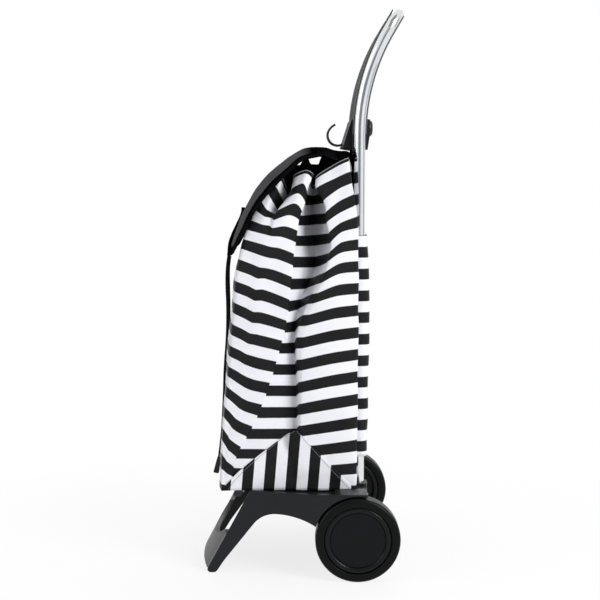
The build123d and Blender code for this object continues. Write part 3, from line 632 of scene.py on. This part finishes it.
black_cloth = woven("black_cloth", tone(9, 9, 10), tone(20, 20, 22), gloss=0.8)
rim = bag_grid[0]
mouth = np.array([0, 0.03])
collar_top = np.array([(-0.06, 0.694), (-0.035, 0.714), (-0.015, 0.722), (-0.011, 0.728), (0.0005, 0.729),
                       (0.0035, 0.745), (0.011, 0.746), (0.016, 0.73), (0.034, 0.73), (0.038, 0.745),
                       (0.07, 0.751), (0.1, 0.748)])
collar_rows = 14
rim_steps = np.linalg.norm(np.roll(rim, -1, axis=0) - rim, axis=1)
rim_reach = np.concatenate([[0], np.cumsum(rim_steps)])
gathers = 34
gather_depth = 0.0035
drawn_in = 0.3
draw_power = 1.3
collar_inset = 0.0006
collar_lift = 0.001
outward = rim[:, :2] - mouth
outward /= np.linalg.norm(outward, axis=1)[:, None]
collar_grid = np.zeros((collar_rows, len(rim), 3))
for row in range(collar_rows):
    rise = 1 - row / (collar_rows - 1)
    draw = drawn_in * rise ** draw_power
    swell = gather_depth * rise * np.sin(2 * math.pi * gathers * rim_reach[:-1] / rim_reach[-1])
    flat = rim[:, :2] * (1 - draw) + mouth * draw + outward * swell[:, None]
    top = np.interp(flat[:, 1], collar_top[:, 0], collar_top[:, 1])
    collar_grid[row, :, :2] = flat - outward * collar_inset
    collar_grid[row, :, 2] = rim[:, 2] + collar_lift + (top - rim[:, 2]) * rise
collar_height = 0.033
collar_thickness = 0.001
collar_drop = np.linspace(0, -collar_height, collar_rows)
collar_cloth = np.stack([np.broadcast_to(rim_reach, (collar_rows, len(rim_reach))),
                         np.broadcast_to(collar_drop[:, None], (collar_rows, len(rim_reach)))], axis=2)
collar = sewn("bag_collar_cloth", collar_grid, collar_cloth, black_cloth, closed=True)
rumple(collar, count=40.0, depth=0.0018, seed=5.0)
thicken(collar, collar_thickness)
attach(collar, "frame")
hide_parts("bag_collar")

# Painted highlight: the piping's light grey stands for the light caught along the edge of the rim.
piping_painted_highlight = moulded("piping_painted_highlight", tone(120, 120, 124), tone(165, 165, 170), gloss=0.35, grain=400.0,
                       grain_depth=0.00002, edge=0.0003)
piping_radius = 0.0007
piping_out = 0.0004
piping_shift = np.concatenate([outward * piping_out, np.full((len(rim), 1), collar_lift)], axis=1)
piping = strand("rim_piping", [rim + piping_shift], piping_radius, piping_painted_highlight, closed=True)
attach(piping, "frame")

# Back sleeve: a tunnel of the striped cloth round the two tubes, sewn to the back of the bag, which
# keeps the bag upright against the frame.
sleeve_top = 0.605
sleeve_foot = 0.206
sleeve_bulge = np.array([(0.19, 0.1165), (0.23, 0.1168), (0.271, 0.1185), (0.344, 0.119), (0.417, 0.1205),
                         (0.489, 0.1208), (0.557, 0.1192), (0.597, 0.1162), (0.62, 0.116)])
sleeve_rows = 84
sleeve_columns = 72
sleeve_grid = []
for z in np.linspace(sleeve_top, sleeve_foot, sleeve_rows):
    back = np.interp(z, sleeve_bulge[:, 0], sleeve_bulge[:, 1])
    outline = [(0.1072, 0.0895), (0.1084, 0.099), (0.1078, 0.109), (0.1035, back - 0.002), (0.094, back),
               (0.05, back - 0.0012), (0, back - 0.0018)]
    outline += [(-x, y) for x, y in outline[-2::-1]]
    outline = np.array([(x, y, z) for x, y in outline])
    lengths = run_of(outline)
    sleeve_grid.append(smooth(lengths, outline, np.linspace(0, lengths[-1], sleeve_columns)))
sleeve_grid = np.array(sleeve_grid)
sleeve_width = float(lengths[-1])
sleeve_cloth = np.stack(np.meshgrid(np.linspace(0, sleeve_width, sleeve_columns),
                                    np.linspace(0, sleeve_foot - sleeve_top, sleeve_rows)), axis=2)
sleeve_first_stripe = 0.0005
sleeve_stripes = striped("sleeve_cloth", sleeve_first_stripe, no_band)
sleeve = sewn("back_sleeve_cloth", sleeve_grid[:, ::-1], sleeve_cloth, sleeve_stripes)
rumple(sleeve, count=14.0, depth=0.0011, seed=11.0)
thicken(sleeve, cloth_thickness)
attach(sleeve, "frame")
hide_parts("back_sleeve")
sleeve_skin = np.array([vertex.co for vertex in sleeve.data.vertices]).reshape(sleeve_grid.shape)
hem_row = 2
hem_ends = 12
hem_lines = [sleeve_skin[row, hem_ends:-hem_ends] for row in (hem_row, -1 - hem_row)]
hems = stitches(hem_lines, lift=(0, 0.0003, 0))
hem_sewing = strand("sleeve_stitches", hems, thread_radius, thread, thread_sides)
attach(hem_sewing, "frame")

# Lid root and hanger: black cloth sewn to the back of the bag, carried up over the shoulder to the
# fold of the lid. A short loop of webbing hangs it from the bridge.
root_line = np.array([(0.0925, 0.598), (0.0965, 0.64), (0.0985, 0.7), (0.0965, 0.735), (0.093, 0.7485),
                      (0.084, 0.7552), (0.072, 0.7556), (0.06, 0.7572), (0.046, 0.7615), (0.0265, 0.7625)])
root_half = np.array([0.074, 0.075, 0.076, 0.08, 0.086, 0.096, 0.108, 0.119, 0.131, 0.135])
root_droop = np.array([0, 0, 0, 0.002, 0.007, 0.014, 0.017, 0.018, 0.0165, 0.0135])
root_thickness = 0.0016
droop_power = 2.5
root_rows = 60
root_columns = 41
lengths = run_of(root_line)
root_shape = np.column_stack([root_line, root_half, root_droop])
root_shape = smooth(lengths, root_shape, np.linspace(0, lengths[-1], root_rows))
root_grid = np.zeros((root_rows, root_columns, 3))
root_cloth = np.zeros((root_rows, root_columns, 2))
for row, (y, z, half_width, droop) in enumerate(root_shape):
    across = np.linspace(-1, 1, root_columns)
    root_grid[row, :, 0] = across * half_width
    root_grid[row, :, 1] = y
    root_grid[row, :, 2] = z - droop * np.abs(across) ** droop_power
    root_cloth[row, :, 0] = across * half_width
    root_cloth[row, :, 1] = lengths[-1] * row / (root_rows - 1)
root = sewn("lid_root_cloth", root_grid, root_cloth, black_cloth)
rumple(root, count=26.0, depth=0.0009, seed=21.0)
thicken(root, root_thickness)
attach(root, "frame")
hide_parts("lid_root")
root_area = float(lengths[-1] * 2 * root_shape[:, 2].mean())


def webbing(name, dark, light, rib=0.0022):
    """Woven polypropylene tape: cross ribs, a fine warp, and a painted sheen that makes the crowns of the
    yarns paler.
    """
    finish = Finish(name, Specular_IOR_Level=0.0)
    across, along = finish.cloth()
    ribs = (along * (2 * math.pi / rib)).wave()
    warp = (across * (2 * math.pi / (0.6 * rib))).wave()
    crown = (ribs * warp * 0.5 + 0.5).held()
    finish.feed(
        # Painted sheen: the crowns of the yarns are painted paler than the dark tape.
        Base_Color=finish.mix(crown, dark, light),
        Roughness=0.5 + crown * 0.2,
        Normal=finish.bump(crown, 0.0005),
    )
    return finish


tape_thickness = 0.0024
tape = webbing("webbing", tone(5, 5, 6), tone(34, 34, 36))
hanger_low, hanger_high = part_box("bag_hanger")
hanger_rows = np.linspace(hanger_high[2], hanger_low[2], 9)
hanger_columns = np.linspace(hanger_low[0], hanger_high[0], 17)
hanger_y = (hanger_low[1] + hanger_high[1]) / 2
hanger_grid = np.array([[(x, hanger_y, z) for x in hanger_columns] for z in hanger_rows])
hanger_cloth = np.array([[(x, z) for x in hanger_columns] for z in hanger_rows])
hanger = sewn("hanger_webbing", hanger_grid, hanger_cloth, tape)
thicken(hanger, tape_thickness, 0.0)
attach(hanger, "frame")
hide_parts("bag_hanger")

# Lid: two layers of coated dark cloth with a thin foam between them, bound along the edge. It
# folds along the front of its root and hangs over the front of the bag.
hinge = (0.026151, 0.760255)
lid_half = 0.136
lid_reach = 0.155
lid_drop = 0.193
above_hinge = 0.00175
lid_top = hinge[1] + above_hinge
lid_middle = [(-0.08, -0.003), (0, -0.004), (0.136, 0.01), (0.244, 0.055), (0.348, 0.109), (0.524, 0.221),
              (0.679, 0.364), (0.81, 0.534), (0.9, 0.684), (0.934, 0.759), (0.974, 0.845), (1.003, 0.92),
              (1.015, 1)]
lid_side = [(-0.06, 0.062), (0, 0.07), (0.188, 0.114), (0.304, 0.2), (0.452, 0.311), (0.665, 0.508),
            (0.839, 0.762), (0.968, 0.953)]
curl_power = 2.2
lid_rows = 56
lid_columns = 49


def lid_line(shares):
    """Points down the lid, and their length, from shares of its reach ahead and of its drop."""
    ahead, below = np.transpose(shares)
    points = np.column_stack([hinge[0] - lid_reach * ahead, lid_top - lid_drop * below])
    lengths = run_of(points)
    return smooth(lengths, points, np.linspace(0, lengths[-1], lid_rows)), float(lengths[-1])


middle_line, lid_length = lid_line(lid_middle)
side_line = lid_line(lid_side)[0]
lid_grid = np.zeros((lid_rows, lid_columns, 3))
lid_cloth = np.zeros((lid_rows, lid_columns, 2))
for column, across in enumerate(np.linspace(-1, 1, lid_columns)):
    share = abs(across) ** curl_power
    line = middle_line * (1 - share) + side_line * share
    lid_grid[:, column, 0] = across * lid_half
    lid_grid[:, column, 1:] = line
    lid_cloth[:, column, 0] = across * lid_half
    lid_cloth[:, column, 1] = np.linspace(0, -lid_length, lid_rows)
lid_margin = 0.019
lid_hem = 0.014
lid_root = 0.046
lid_thickness = 0.0034
# Painted sheen: the lid cloth is dark, and its grey tones paint the sheen on its top; the sheen stops at
# the margin and hem and fades out towards the root.
lid_cloth_painted_sheen = woven("lid_cloth", tone(76, 76, 78), tone(106, 106, 108), gloss=0.6,
                   margin=lid_half - lid_margin, hem=lid_length - lid_hem, root=lid_root)
lid = sewn("lid_cloth", lid_grid, lid_cloth, lid_cloth_painted_sheen)
rumple(lid, count=20.0, depth=0.0012, seed=31.0)
lid_edge = np.array([vertex.co for vertex in lid.data.vertices]).reshape(lid_rows, lid_columns, 3)
thicken(lid, lid_thickness)
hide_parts("lid")
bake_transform(lid)

# The binding rises where it passes under the strap, so that the strap swings clear of it.
binding_radius = 0.0034
binding_shift = np.array([0, 0.0012, -0.0012])
binding_rise = 0.0046
rise_width = 0.016
rise_reach = 0.03
binding_line = np.concatenate([lid_edge[:, 0], lid_edge[-1, 1:-1], lid_edge[::-1, -1]]) + binding_shift
at_tip = binding_line[:, 2] < lid_top - 0.8 * lid_drop
under_strap = at_tip & (np.abs(binding_line[:, 0]) < rise_reach)
binding_line[under_strap, 2] += binding_rise * np.exp(-((binding_line[under_strap, 0] / rise_width) ** 4))
binding_tape = woven("binding_tape", tone(8, 8, 9), tone(18, 18, 19), gloss=0.7)
binding = strand("lid_binding", [binding_line], binding_radius, binding_tape, sides=10)
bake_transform(binding)
seam_inset = 3
seam_start = 6
side_seams = lid_edge[seam_start:-seam_inset]
tip_seam = lid_edge[-1 - seam_inset, seam_inset:-seam_inset]
lid_rows_sewn = [side_seams[:, seam_inset], tip_seam, side_seams[:, -1 - seam_inset]]
lid_thread = spun("lid_thread", tone(20, 20, 21), tone(44, 44, 46))
lid_seams = stitches(lid_rows_sewn, lift=(0, -0.0002, 0.0004))
lid_sewing = strand("lid_stitches", lid_seams, thread_radius, lid_thread, thread_sides)
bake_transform(lid_sewing)

# Strap: black webbing sewn flat along the tip of the lid and hanging free to a moulded pull, by
# which the lid is drawn down over the bag.
strap_width = 0.02
swing = Vector((0, -0.133768, 0.562064))
strap_route = [(0, 0), (2.8, -14), (4, -48), (2.2, -100), (4.2, -152), (8.9, -206), (11.2, -256),
               (15, -304), (17.6, -346), (22.5, -384)]
strap_turns = [(0, 19), (0.07, 21), (0.14, 24), (0.3, 21), (0.41, 16), (0.59, 15), (0.7, 9), (0.82, 2),
               (1, 6)]


def tape_along(name, line, turns, finish):
    """Flat tape of the strap's section along a line. turns gives its twist in degrees at shares of it."""
    line = np.asarray(line, float)
    tangents = np.gradient(line, axis=0)
    lengths = run_of(line)
    edge = tape_thickness / 2
    rounded = 0.6 * edge
    flat = strap_width / 2 - rounded
    section = [(-flat, -edge), (0, -edge), (flat, -edge), (flat + rounded, 0), (flat, edge), (0, edge),
               (-flat, edge), (-flat - rounded, 0)]
    rows = []
    cloth = []
    for point, tangent, length in zip(line, tangents, lengths):
        tangent = Vector(tangent).normalized()
        turn = math.radians(np.interp(length / lengths[-1], *zip(*turns)))
        level = Vector((1, 0, 0))
        face = level.cross(tangent)
        across = level * math.cos(turn) + face * math.sin(turn)
        through = face * math.cos(turn) - level * math.sin(turn)
        rows.append([tuple(Vector(point) + across * a + through * b) for a, b in section])
        cloth.append([(a, -length) for a, b in section] + [(section[0][0], -length)])
    return sewn(name, np.array(rows), np.array(cloth), finish, closed=True)


strap_curve = bpy.data.curves.new("strap_line", "CURVE")
strap_curve.dimensions = "3D"
spline = strap_curve.splines.new("NURBS")
spline.points.add(len(strap_route) - 1)
for point, (ahead, below) in zip(spline.points, strap_route):
    point.co = (0, swing.y - ahead / 1000, swing.z + below / 1000, 1)
spline.order_u = 3
spline.use_endpoint_u = True
spline.resolution_u = 16
strap_holder = bpy.data.objects.new("strap_line", strap_curve)
strap_mesh = bpy.data.meshes.new_from_object(strap_holder)
strap_line = np.array([vertex.co for vertex in strap_mesh.vertices])
bpy.data.objects.remove(strap_holder)
strap = tape_along("strap_webbing", strap_line, strap_turns, tape)
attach(strap, "strap")
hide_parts("lid_strap")

anchor_stand = np.array([(0.569, 0.002), (0.576, 0.0026), (0.59, 0.0032), (0.603, 0.0032),
                         (0.615, 0.0026), (0.626, 0.0018), (0.634, 0.0012), (0.643, 0.0015), (0.65, 0.004)])
anchor_top = anchor_stand[-1, 0]
tip_rows = [row for row in range(lid_rows - 1, 0, -1) if middle_line[row, 1] < anchor_top]
anchor_ahead = 0.0003
anchor_above = 0.0004
anchor_line = [(0, swing.y - anchor_ahead, swing.z + anchor_above)]
for row in tip_rows:
    along = middle_line[row - 1] - middle_line[row]
    out = np.array([-along[1], along[0]]) / np.linalg.norm(along)
    stand = np.interp(middle_line[row, 1], anchor_stand[:, 0], anchor_stand[:, 1])
    y, z = middle_line[row] + out * stand
    anchor_line.append((0, y, z))
anchor_turns = [(0, 19), (0.3, 13), (0.6, 6), (0.8, 2), (1, 11)]
anchor = tape_along("strap_anchor_webbing", anchor_line, anchor_turns, tape)
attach(anchor, "lid")
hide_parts("strap_anchor")

# Floor, light and camera: a pale floor in a white studio, three soft lights with the strongest behind
# the trolley on the camera's side, grey cards for the metal to reflect, and the camera at the height
# of the lid, square to the trolley's left side.
floor_size = 12.0
floor_corners = [(-floor_size, -floor_size, 0), (floor_size, -floor_size, 0), (floor_size, floor_size, 0),
                 (-floor_size, floor_size, 0)]
pale_floor = Finish("pale_floor", Base_Color=tone(240, 240, 240), Roughness=0.8, Specular_IOR_Level=0.2)
seen = pale_floor.node("LightPath", out="Is Camera Ray") + pale_floor.node("LightPath", out="Is Glossy Ray")
white_floor = pale_floor.node("Emission", None, {"Color": (1, 1, 1, 1), "Strength": 1.0})
distance = pale_floor.node("VectorMath", {"operation": "LENGTH"}, {0: pale_floor.place()}, "Value")
white_near = 0.86
whitening = 0.25
shadow_reach = 0.35
clean = (white_near + (distance - shadow_reach) * whitening).held()
both = {0: seen.held() * clean, 1: pale_floor.surface(), 2: white_floor}
mixed_floor = pale_floor.node("MixShader", None, both)
pale_floor.join(mixed_floor, pale_floor.tree.nodes["Material Output"].inputs["Surface"])
floor = shaped("floor", floor_corners, [(0, 1, 2, 3)], pale_floor)

world = bpy.data.worlds.new("studio")
world.use_nodes = True
bpy.context.scene.world = world
studio = world.node_tree
path = studio.nodes.new("ShaderNodeLightPath")
backdrop = studio.nodes["Background"]
room_light = 0.34
shown = path.outputs["Is Camera Ray"]
for ray in ("Is Glossy Ray", "Is Transmission Ray"):
    either = studio.nodes.new("ShaderNodeMath")
    either.operation = "MAXIMUM"
    studio.links.new(shown, either.inputs[0])
    studio.links.new(path.outputs[ray], either.inputs[1])
    shown = either.outputs[0]
level = studio.nodes.new("ShaderNodeMapRange")
studio.links.new(shown, level.inputs["Value"])
level.inputs["To Min"].default_value = room_light
level.inputs["To Max"].default_value = 1.0
studio.links.new(level.outputs[0], backdrop.inputs["Strength"])
backdrop.inputs["Color"].default_value = (1, 1, 1, 1)


def softbox(name, place, aim, size, power):
    """Square soft light, turned towards a point."""
    lamp = bpy.data.lights.new(name, "AREA")
    lamp.size = size
    lamp.energy = power
    holder = added(name, lamp)
    holder.location = place
    holder.rotation_euler = (Vector(aim) - Vector(place)).to_track_quat("-Z", "Y").to_euler()


def flag(name, place, width, height, grey):
    """Grey card that only reflections see, so that bright metal and gloss have something dark to show."""
    across = width / 2
    up = height / 2
    corners = [(-across, -up, 0), (across, -up, 0), (across, up, 0), (-across, up, 0)]
    card = Finish(name, Base_Color=(0, 0, 0, 1), Specular_IOR_Level=0.0)
    card.feed(Emission_Color=grey, Emission_Strength=1.0)
    holder = shaped(name, corners, [(0, 1, 2, 3)], card)
    holder.location = place
    holder.rotation_euler = (Vector((0, 0, 0.9)) - Vector(place)).to_track_quat("Z", "Y").to_euler()
    holder.visible_camera = False
    holder.visible_diffuse = False
    holder.visible_shadow = False


softbox("key_light", place=(2.1, 2.1, 1.9), aim=(0, 0, 0.45), size=1.5, power=91.0)
softbox("fill_light", place=(0.9, -2.7, 1.6), aim=(0, 0, 0.45), size=1.6, power=26.0)
softbox("back_light", place=(-2.2, 0.4, 2.2), aim=(0, 0, 0.5), size=2.0, power=36.0)
flag("side_flag", place=(3.6, -0.35, 0.8), width=3.4, height=2.0, grey=tone(138, 142, 156))
flag("far_flag", place=(-3.6, -0.1, 0.9), width=2.2, height=2.2, grey=tone(214, 215, 218))
flag("front_flag", place=(0, -3.6, 0.9), width=2.2, height=2.2, grey=tone(196, 198, 204))
flag("rear_flag", place=(0, 3.6, 0.9), width=2.2, height=2.2, grey=tone(196, 198, 204))
flag("ceiling_flag", place=(1.9, 0.4, 2.9), width=3.4, height=3.0, grey=tone(160, 158, 150))

eye = Vector((2.3836, -0.0164, 0.7271))
pitch = math.radians(-5.95)
yaw = math.radians(0.337)
gaze = Vector((-math.cos(pitch) * math.cos(yaw), math.cos(pitch) * math.sin(yaw), math.sin(pitch)))
lens = bpy.data.cameras.new("camera")
lens.sensor_width = 36.0
lens.lens = 76.86
camera = added("camera", lens)
camera.location = eye
camera.rotation_euler = gaze.to_track_quat("-Z", "Y").to_euler()
bpy.context.scene.camera = camera
bpy.context.scene.view_settings.view_transform = "Standard"
